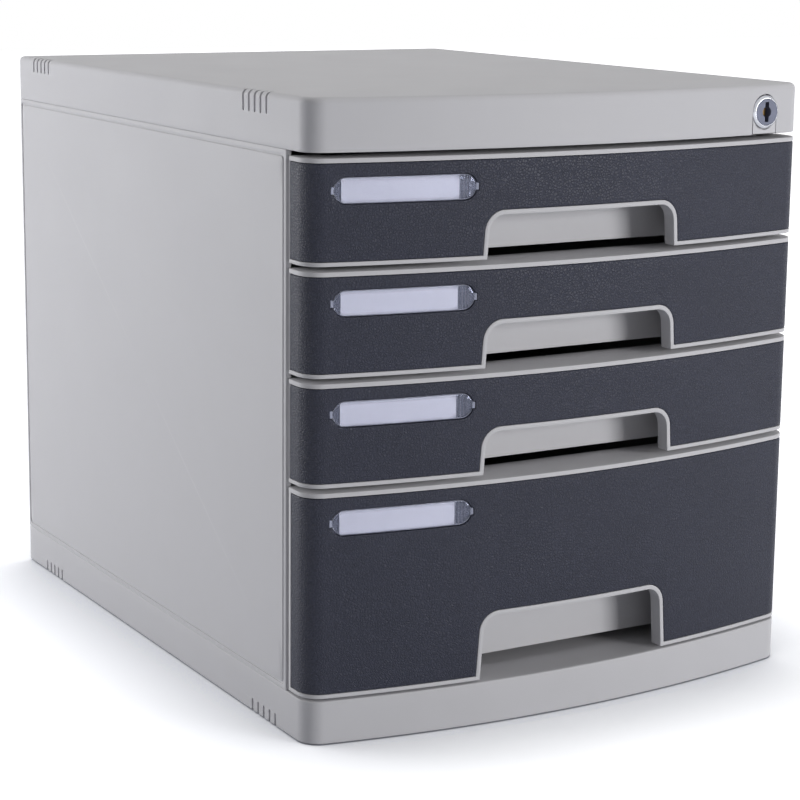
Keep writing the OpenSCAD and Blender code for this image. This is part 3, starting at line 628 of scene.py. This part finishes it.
def notch_edge(high, inset, foot_z):
    """Right half of the notch's outline, inset from it, from the leg's foot to the middle.

    The leg leans in by the splay, an arc of radius 11 less the inset turns it level, and the
    top runs straight to the middle. Returns x and z above the front's lower edge.
    """
    half = NOTCH_HALF - inset / math.cos(SPLAY)
    top, r = high - inset, NOTCH_R - inset
    middle = half - (top - r) * math.tan(SPLAY) - r / math.cos(SPLAY)
    a = np.linspace(SPLAY, np.pi / 2, 13)
    x_arc, z_arc = middle + r * np.cos(a), top - r + r * np.sin(a)
    share = np.linspace(0, 1, 6)[:-1]
    z_leg = foot_z + share * (z_arc[0] - foot_z)
    x_top = x_arc[-1] * np.linspace(1, 0, 20)[1:]
    x = np.concatenate([half - z_leg * math.tan(SPLAY), x_arc, x_top])
    return x, np.concatenate([z_leg, z_arc, 0 * x_top + top])


def front_columns(side_rim):
    """Lengths of the columns beyond the notch, from the notch's foot out to the return's end.

    The label's pocket has its own columns on both sides, at its ends' arcs and its tabs, so the
    two halves of a front match.
    """
    arc = np.linspace(0, math.acos(TAB_HALF / LABEL_R), 10)
    tab = LABEL_HALF + LABEL_R + TAB_OUT
    u = np.concatenate([np.arange(0, 30, 2.5), LABEL_HALF + LABEL_R * np.sin(arc),
                        [tab - 0.01, tab + 0.01, tab + 0.15]])
    u = np.concatenate([-u[:0:-1], u]) - LABEL_X
    u = bow_length(np.concatenate([[NOTCH_HALF + 1.3], u, [ROUND_X + 1.6]]))
    s_rim = RETURN_S - side_rim
    outer = np.concatenate([np.linspace(BOW_L, BOW_L + ROUND_L, 13),
                            [s_rim - 1.0, s_rim - 0.02, s_rim + 0.02, RETURN_S - 0.35,
                             RETURN_S - 0.1, RETURN_S]])
    return np.concatenate([u, outer])


STRAIGHT_END, BLEND_L = 74, 10


def front_at(s, inset):
    """Plan place of a point at length s and inset.

    It lies square to the bow beyond the notch, and straight back from the front over the notch,
    whose sides are drawn along the drawer. The two blend over the 10 mm beyond the notch.
    """
    x, y = case_line(s, inset)
    x_straight = BOW_R * np.sin(np.clip(s / BOW_R, -0.12, 0.12))
    y_straight = BOW_Y - np.sqrt((BOW_R - inset) ** 2 - x_straight ** 2)
    share = np.clip((STRAIGHT_END - np.abs(s)) / BLEND_L, 0, 1)
    return x + (x_straight - x) * share, y + (y_straight - y) * share


def tray_front(n):
    """The front block as one closed plate.

    Its rows run from the lower rim's edge over the rim, the panel's seat and the top rim. Its
    back is the wall's back, the end of the notch's walls, or the flange.
    """
    z0, top, lift = DRAWERS[n]
    high, side_rim = front_sizes(n)
    x_in, z_in = notch_edge(high, NOTCH_RIM, 0)
    x_out, z_out = notch_edge(high, 0, RIM_LOW)
    s_side = front_columns(side_rim)
    s_low = np.concatenate([bow_length(x_in[::-1]), [bow_length(x_in[0] + 0.03)], s_side])
    z_low = np.concatenate([z_in[::-1], [0], 0 * s_side])
    s_high = np.concatenate([bow_length(x_out[::-1]), [bow_length(x_out[0] + 0.03)], s_side])
    z_high = np.concatenate([z_out[::-1], [RIM_LOW], 0 * s_side + RIM_LOW])
    notch = np.concatenate([np.ones(len(x_in)), np.zeros(len(s_side) + 1)])
    s_low, s_high = both_halves(s_low, -1), both_halves(s_high, -1)
    z_low, z_high, notch = both_halves(z_low, 1), both_halves(z_high, 1), both_halves(notch, 1)
    h = top - z0
    # Each row: share of the way over the lower rim, share of the way up the seat, inset, and
    # what lies behind it: 0 the notch or the wall, 1 the wall, 2 the flange.
    rows = [(0, 0, 0.22, 0), (0.03, 0, 0.06, 0), (0.1, 0, 0, 0), (0.92, 0, 0, 0),
            (1, 0, SEAT_EDGE, 0), (1, 0, PANEL_T, 0), (1, 0.001, PANEL_T, 1),
            (1, 0.5, PANEL_T, 1), (1, 1, PANEL_T, 1), (1, 1.001, PANEL_T, 2),
            (1, 1.0015, SEAT_EDGE, 2)]
    share, rise, inset, back = (np.array(c, float)[:, None] for c in zip(*rows))
    s = s_low + (s_high - s_low) * share
    z = z_low + (z_high - z_low) * share
    z = z + (h - RIM_TOP - z) * rise
    in_rim = np.abs(s) > RETURN_S - side_rim
    inset = np.where(in_rim & (inset > 1), 0, inset + 0 * s)
    top_rows = [(h - RIM_TOP + SEAT_EDGE, 0), (h - 0.5, 0), (h - 0.15, 0.13), (h, 0.5)]
    s = np.concatenate([s] + [s_high[None]] * 4)
    z = np.concatenate([z] + [0 * s_high[None] + row[0] for row in top_rows])
    inset = np.concatenate([inset] + [0 * s_high[None] + row[1] for row in top_rows])
    back = np.concatenate([back + 0 * s[:1], np.full((4, len(s_high)), 2.0)])
    end = np.clip((np.abs(s) - RETURN_S + 0.35) / 0.35, 0, 1)
    inset = np.maximum(inset, 0.25 * end ** 2)
    x, y = front_at(s, inset)
    front = np.stack([x, y, z + z0], -1)
    depth = np.where((back == 0) & (notch > 0), NOTCH_IN, WALL_IN)
    bx, by = front_at(s, depth)
    flange = back == 2
    along = np.abs(s)
    fx = np.where(along < 137, np.minimum(np.abs(bx), 134.3), np.abs(bx))
    fy = np.where(along < 137, STORE_Y, RETURN_Y)
    bx, by = np.where(flange, np.sign(s) * fx, bx), np.where(flange, fy, by)
    return plate(front, np.stack([bx, by, z + z0], -1))


def storage_box(n):
    """The open box: rounded rings carried up its outside, over its edge and down to its floor.

    The front wall stands up to the flange and hangs below the floor; the other three walls end
    14 mm under the front's top.
    """
    z0, top, lift = DRAWERS[n]
    deck, wall_foot = z0 + lift, z0 + (4.2 if n == 4 else 1.8)
    rows = [(3, deck, 0), (2.1, 0, 1), (0.4, 0, 1), (0.1, 0.1, 1), (0, 0.4, 1), (0, None, 0),
            (0.3, None, 0.3), (1.1, None, 0.45), (1.9, None, 0.3), (TRAY_WALL, None, 0),
            (TRAY_WALL, deck + 4.2, 0), (TRAY_WALL + 0.6, deck + 2.8, 0),
            (TRAY_WALL + 2, deck + 2.2, 0), (8, deck + 2.2, 0)]
    rings = []
    for inset, z, over in rows:
        ring = rounded_ring(-TRAY_X + inset, TRAY_X - inset, STORE_Y - TRAY_WALL + inset,
                            TRAY_BACK - inset, max(3.2 - inset, 0.6), 5, 24)
        edge = np.where(ring[:, 1] < -168.0, top - 1.4, top - 14.45) + over
        foot = np.where(ring[:, 1] < STORE_Y, wall_foot, deck)
        level = foot + z if over == 1 else edge if z is None else 0 * edge + z
        rings.append(np.column_stack([ring, level]))
    return tube(np.stack(rings))


def tray_parts(n):
    """All the surfaces of one drawer tray."""
    z0, top, lift = DRAWERS[n]
    deck = z0 + lift
    parts = [tray_front(n), storage_box(n)]
    for side in (-1, 1):
        pair = [block(136.0, 141, STORE_Y - TRAY_WALL, TRAY_BACK, deck, deck + TRAY_WALL, 0.3),
                block(133.6, 137.5, -173.0, -158.5, top - 20, top - 4, 0.3),
                block(133.6, 137.5, -149.5, -140.9, top - 20, top - 4, 0.3),
                block(133.6, 137.5, -159.0, -149.0, top - 20, top - 12.5, 0.2),
                block(134.4, 136.4, 118.3, 130.3, top - 16, top - 4, 0.3),
                block(96.5, 98.5, -187.2, -173.0, z0 + 4, top - 1.5, 0.2)]
        parts += [(p * (side, 1, 1), f) for p, f in pair]
    return parts


for n in (4, 3, 2, 1):
    make_piece(f"drawer_{n}_tray_shell", tray_parts(n), f"drawer_{n}", "light_plastic",
               light_plastic, f"drawer_tray_{n}")

# ------------------------------------------------------------------- dark fronts
# A 2.85 mm dark slate moulding with a fine leather grain lies in each tray's seat, held by pegs
# behind it, and wraps round the corners to the returns. At the left it has a 2 mm deep
# pocket with round ends and a snap tab's notch at each end for the label.
FIT, POCKET_CLEAR = 0.15, 8.0        # plain rows run this far from the pocket's middle


def leather(name, colour, worn):
    """Dark plastic with a moulded leather grain: small raised cells with worn, shinier tops."""
    material, tree, place, shader = new_material(name)
    shader.inputs["Specular IOR Level"].default_value = 0.22
    warp = add_node(tree, "ShaderNodeTexNoise", {"Vector": place, "Scale": 500, "Detail": 2})
    bend = add_node(tree, "ShaderNodeVectorMath", {
        0: warp.outputs["Color"], "Scale": 0.0008}, operation="SCALE")
    moved = add_node(tree, "ShaderNodeVectorMath", {0: place, 1: bend.outputs[0]})
    cells = add_node(tree, "ShaderNodeTexVoronoi", {
        "Vector": moved.outputs[0], "Scale": 720}, feature="DISTANCE_TO_EDGE")
    rise = remap(tree, cells.outputs["Distance"], 0.0, 1.0, 0.0, 0.22,
                 interpolation_type="SMOOTHSTEP")
    cloud = remap(tree, noise(tree, place, 22, 4), 0.94, 1.06)
    speck = remap(tree, noise(tree, place, 1100, 1), 0.84, 1.18, 0.35, 0.65)
    finish_shader(
        tree, shader, mixed(tree, edge_wear_and_highlight(tree, 0.45, 0.52, 0.62), colour, worn),
        product(tree, cloud, speck), remap(tree, rise, 0.62, 0.44, 0.0, 1.0), rise, 0.0002)
    return material


slate = leather("slate_plastic", (0.030, 0.0325, 0.050), (0.06, 0.064, 0.088))


def label_height(s):
    """Half height of the label's pocket at length s: its round ends, or its snap tabs."""
    u = np.abs(BOW_R * np.sin(s / BOW_R) - LABEL_X)
    return np.maximum(TAB_HALF, np.sqrt(np.clip(
        LABEL_R ** 2 - np.clip(u - LABEL_HALF, 0, None) ** 2, 0, None)))


def face_grid(n):
    """Lengths, heights and insets of a dark front's outer surface.

    The rows run from its lower edge, which follows the notch, over the label's pocket to its
    upper edge.
    """
    z0, top, lift = DRAWERS[n]
    high, side_rim = front_sizes(n)
    h, zc = top - z0, top - z0 - LABEL_DROP
    s_end = RETURN_S - side_rim - FIT
    s_side = front_columns(side_rim)
    s_side = np.concatenate([s_side[s_side < s_end - 0.8], s_end - np.array([0.6, 0.3, 0.1, 0])])
    edges = []
    for out in (FIT, FIT + 0.12, FIT + 0.35, FIT + 0.9):
        x, z = notch_edge(high, -out, RIM_LOW + out)
        z = np.concatenate([z[::-1], 0 * s_side + RIM_LOW + out])
        s = np.concatenate([bow_length(x[::-1]), s_side])
        edges.append((both_halves(s, -1), both_halves(z, 1)))
    s, z = (np.stack(c) for c in zip(*edges))
    inset = np.array([0.7, 0.3, 0.08, 0])[:, None] + 0 * s
    last = s[-1]
    half = label_height(last)
    start = zc - POCKET_CLEAR
    more = [(z[-1] + (start - z[-1]) * 0.5, 0), (start + 0 * last, 0)]
    marks = ((-1, -0.3, 0), (-1, -0.08, 0.06), (-1, 0, 0.2), (-1, 0.02, 2), (-0.5, 0, 2), (0, 0, 2),
             (0.5, 0, 2), (1, -0.02, 2), (1, 0, 0.2), (1, 0.08, 0.06), (1, 0.3, 0))
    more += [(zc + share * half + shift, deep) for share, shift, deep in marks]
    high_edge = h - RIM_TOP - FIT
    more += [(zc + POCKET_CLEAR + 0 * last, 0)] + [
        (high_edge - drop + 0 * last, deep)
        for drop, deep in ((0.9, 0), (0.35, 0.08), (0.12, 0.3), (0, 0.7))]
    u = BOW_R * np.sin(last / BOW_R) - LABEL_X
    reach = LABEL_HALF + LABEL_R + TAB_OUT
    inside = (last < 0) & (np.abs(u) < reach)
    s = np.concatenate([s] + [last[None]] * len(more))
    z = np.concatenate([z] + [row[None] for row, deep in more])
    deep = [np.where(inside | (abs(row_deep) > 5), row_deep, 0) if k in range(2, 13) else
            row_deep + 0 * last for k, (row, row_deep) in enumerate(more)]
    inset = np.concatenate([inset, np.stack(deep)])
    end = np.clip((np.abs(s) - s_end + 0.6) / 0.6, 0, 1)
    return s, z + z0, np.maximum(inset, 0.7 * end ** 2)


for n in (4, 3, 2, 1):
    s, z, inset = face_grid(n)
    x, y = front_at(s, inset)
    bx, by = front_at(s, PANEL_T - FIT + 0 * s)
    face = plate(np.stack([x, y, z], -1), np.stack([bx, by, z], -1))
    make_piece(f"drawer_{n}_dark_front", [face], f"drawer_{n}", "slate_plastic", slate,
               f"drawer_face_{n}")

# -------------------------------------------------------------------- label cards
# A plain card of pale paper, 60.5 x 11.8 mm and 0.3 mm thick, lies in each pocket, a little
# curled, with its face 1.56 to 1.6 mm behind the front's.
CARD_X, CARD_W, CARD_HALF, CARD_T = -133.0, 60.5, 5.9, 0.3
CARD_IN, CARD_CURL = 1.6, 0.04


def paper(name, colour):
    """Pale card: soft fibres in its colour and its surface."""
    material, tree, place, shader = new_material(name)
    shader.inputs["Roughness"].default_value = 0.75
    fibre = noise(tree, place, 600, 6)
    finish_shader(tree, shader, colour, remap(tree, fibre, 0.95, 1.03), None, fibre, 0.00003)
    return material


card_paper = paper("label_card", (0.31, 0.31, 0.365))
for n in (4, 3, 2, 1):
    zc = DRAWERS[n][1] - LABEL_DROP
    x, z = np.meshgrid(np.linspace(CARD_X, CARD_X + CARD_W, 33),
                       zc + np.linspace(-CARD_HALF, CARD_HALF, 7))
    bulge = np.sin((x - CARD_X) / CARD_W * np.pi) * np.cos((z - zc) / CARD_HALF * 1.4)
    s, inset = bow_length(x), CARD_IN - CARD_CURL * bulge
    x, y = case_line(s, inset)
    bx, by = case_line(s, inset + CARD_T)
    card = plate(np.stack([x, y, z], -1), np.stack([bx, by, z], -1))
    make_piece(f"drawer_{n}_card", [card], f"drawer_{n}", "label_card", card_paper,
               f"label_card_{n}")

# ------------------------------------------------------------------ label windows
# A clear plastic cover snaps over each card: 12.5 mm high with round ends and a small tab at
# each end, 75.7 mm from tab to tab, 1.2 mm thick, with upright grip ridges at its right end.
def clear_plastic(name):
    """Clear plastic that lamps shine through, with a faint cloud of fine wear."""
    material, tree, place, shader = new_material(name)
    shader.inputs["Base Color"].default_value = (0.93, 0.94, 0.97, 1)
    shader.inputs["Transmission Weight"].default_value = 1.0
    shader.inputs["IOR"].default_value = 1.42
    gloss = remap(tree, noise(tree, place, 300, 4), 0.02, 0.07, 0.35, 0.7)
    tree.links.new(gloss, shader.inputs["Roughness"])
    shader.inputs["Specular Tint"].default_value = (0.7, 0.76, 1.0, 1)
    shader.inputs["Specular IOR Level"].default_value = 0.35
    # The pointy edges turn into a pale grey-blue diffuse: frosted scuffing, and a painted highlight
    # where the window's ends catch the light.
    frost_and_highlight = add_node(tree, "ShaderNodeBsdfDiffuse", {"Color": (0.42, 0.44, 0.55, 1)})
    edged = add_node(tree, "ShaderNodeMixShader", {0: edge_wear_and_highlight(tree, 0.75, 0.515, 0.56)})
    tree.links.new(shader.outputs[0], edged.inputs[1])
    tree.links.new(frost_and_highlight.outputs[0], edged.inputs[2])
    through = add_node(tree, "ShaderNodeBsdfTransparent", {"Color": (0.95, 0.955, 0.975, 1)})
    lamp = add_node(tree, "ShaderNodeLightPath")
    mix = add_node(tree, "ShaderNodeMixShader", {0: lamp.outputs["Is Shadow Ray"]})
    tree.links.new(edged.outputs[0], mix.inputs[1])
    tree.links.new(through.outputs[0], mix.inputs[2])
    out = next(node for node in tree.nodes if node.type == "OUTPUT_MATERIAL")
    tree.links.new(mix.outputs[0], out.inputs["Surface"])
    return material


clear = clear_plastic("clear_plastic")
WINDOW_R, WINDOW_TAB, WINDOW_IN, WINDOW_BACK = 6.25, 1.7, 0.3, 1.5
WINDOW_END = LABEL_HALF + WINDOW_R + TAB_OUT + 0.2
# The grip ridges' first and last place from the pocket's right arc, their spacing and depth.
RIDGE_0, RIDGE_1, RIDGE_STEP, RIDGE_DEEP = -2.2, 3.2, 1.8, 0.5
tip = math.acos(WINDOW_TAB / WINDOW_R)
end_u = LABEL_HALF + WINDOW_R * np.sin(np.linspace(0, tip, 12))
ridge_u = np.linspace(RIDGE_0, RIDGE_1, 25) + LABEL_HALF
right_u = np.unique(np.concatenate([end_u, ridge_u, [WINDOW_END]]))
left_u = np.concatenate([end_u, [WINDOW_END]])
middle_u = np.linspace(-LABEL_HALF, LABEL_HALF - 2.6, 16)[1:]
window_u = np.concatenate([-left_u[::-1], middle_u, right_u])
window_half = np.maximum(WINDOW_TAB, np.sqrt(np.clip(
    WINDOW_R ** 2 - np.clip(np.abs(window_u) - LABEL_HALF, 0, None) ** 2, 0, None)))
ridge_at = window_u - LABEL_HALF
on_ridges = (ridge_at > RIDGE_0 - 0.01) & (ridge_at < RIDGE_1 + 0.01)
ridges = RIDGE_DEEP * on_ridges * np.abs(np.sin((ridge_at - RIDGE_0) / RIDGE_STEP * np.pi))
window_share = np.array([-1, -0.96, -0.91, -0.5, 0, 0.5, 0.91, 0.96, 1])[:, None]
window_edge = np.array([0.5, 0.1, 0, 0, 0, 0, 0, 0.1, 0.5])[:, None]
for n in (4, 3, 2, 1):
    zc = DRAWERS[n][1] - LABEL_DROP
    s = bow_length(window_u + LABEL_X) + 0 * window_share
    z = zc + window_share * window_half
    x, y = case_line(s, WINDOW_IN + window_edge + ridges * (window_edge == 0))
    bx, by = case_line(s, WINDOW_BACK + 0 * s)
    make_piece(f"drawer_{n}_window", [plate(np.stack([x, y, z], -1), np.stack([bx, by, z], -1))],
               f"drawer_{n}", "clear_plastic", clear, f"label_window_{n}")

# ------------------------------------------------------- floor, lights and camera
# A pale floor that shows white to the camera but keeps the case's shadow, with a painted contact
# shadow close round the case, large soft lamps at the left, at the right front and above, and the
# camera at the photograph's place.
floor_mesh = bpy.data.meshes.new("floor")
floor_mesh.from_pydata([(-6, -6, 0), (6, -6, 0), (6, 6, 0), (-6, 6, 0)], [], [(0, 1, 2, 3)])
floor = bpy.data.objects.new("floor", floor_mesh)
bpy.context.scene.collection.objects.link(floor)
floor_material = bpy.data.materials.new("floor")
floor_material.use_nodes = True
tree = floor_material.node_tree
tree.nodes.clear()


def seen_directly(tree):
    """1 for a ray from the camera, or one that comes by way of gloss or clear plastic; else 0."""
    rays = add_node(tree, "ShaderNodeLightPath")
    seen = rays.outputs["Is Camera Ray"]
    for kind in ("Is Glossy Ray", "Is Transmission Ray"):
        seen = add_node(tree, "ShaderNodeMath", {
            0: seen, 1: rays.outputs[kind]}, operation="MAXIMUM").outputs[0]
    return seen


# The floor's own white is darkened by ambient occlusion where the case stands close: a painted
# contact shadow, on top of the shadow that the lamps cast. The white grows a little with the
# distance from the middle.
lit = add_node(tree, "ShaderNodeBsdfDiffuse", {"Color": (0.62, 0.64, 0.70, 1)})
painted_contact_shadow = add_node(tree, "ShaderNodeAmbientOcclusion", {"Distance": 0.1}, samples=8)
spot = add_node(tree, "ShaderNodeVectorMath", {
    0: tree.nodes.new("ShaderNodeTexCoord").outputs["Object"]}, operation="LENGTH")
level = add_node(tree, "ShaderNodeMath", {
    0: remap(tree, painted_contact_shadow.outputs["AO"], 0.0, 0.92, 0.3, 1.0),
    1: remap(tree, spot.outputs["Value"], 0.0, 0.25, 0.3, 1.2)})
white = add_node(tree, "ShaderNodeEmission", {
    "Color": (1, 1, 1, 1), "Strength": product(tree, seen_directly(tree), level.outputs[0])})
both = add_node(tree, "ShaderNodeAddShader", {0: lit.outputs[0], 1: white.outputs[0]})
add_node(tree, "ShaderNodeOutputMaterial", {"Surface": both.outputs[0]})
floor_mesh.materials.append(floor_material)

world = bpy.data.worlds.new("studio")
bpy.context.scene.world = world
world.use_nodes = True
tree = world.node_tree
tree.nodes.clear()
LIGHT_FROM_ALL_ROUND = 0.2
sky = add_node(tree, "ShaderNodeBackground", {
    "Color": (1, 1, 1, 1),
    "Strength": remap(tree, seen_directly(tree), LIGHT_FROM_ALL_ROUND, 1.0, 0.0, 1.0)})
add_node(tree, "ShaderNodeOutputWorld", {"Surface": sky.outputs[0]})


def soft_lamp(name, place, towards, size, power):
    """A square area lamp that looks towards a point."""
    data = bpy.data.lights.new(name, "AREA")
    data.shape, data.size, data.energy = "SQUARE", size, power
    lamp = bpy.data.objects.new(name, data)
    lamp.location = place
    lamp.rotation_mode = "QUATERNION"
    lamp.rotation_quaternion = (Vector(towards) - Vector(place)).to_track_quat("-Z", "Y")
    bpy.context.scene.collection.objects.link(lamp)
    return lamp


soft_lamp("left_lamp", (-1.36, 1.3, 0.42), (0, 0, 0.14), 1.0, 24.3)
soft_lamp("right_lamp", (1.74, -2.87, 0.5), (0, -0.2, 0.16), 1.2, 74)
soft_lamp("top_lamp", (0.2, 0.3, 2.4), (0, 0, 0.2), 1.6, 13.5)

camera_data = bpy.data.cameras.new("camera")
camera_data.sensor_width = 36.0
camera_data.lens = 99.01
camera_data.shift_y = -0.05
camera = bpy.data.objects.new("camera", camera_data)
forward = Vector((0.49352, 0.84888, -0.18929))
right = Vector((0.86548, -0.50083, 0.01047))
back = -forward
up = back.cross(right)
camera.matrix_world = Matrix((
    (right.x, up.x, back.x, -0.63315), (right.y, up.y, back.y, -1.10318),
    (right.z, up.z, back.z, 0.39720), (0, 0, 0, 1)))
bpy.context.scene.collection.objects.link(camera)
bpy.context.scene.camera = camera
bpy.context.scene.view_settings.view_transform = "Standard"
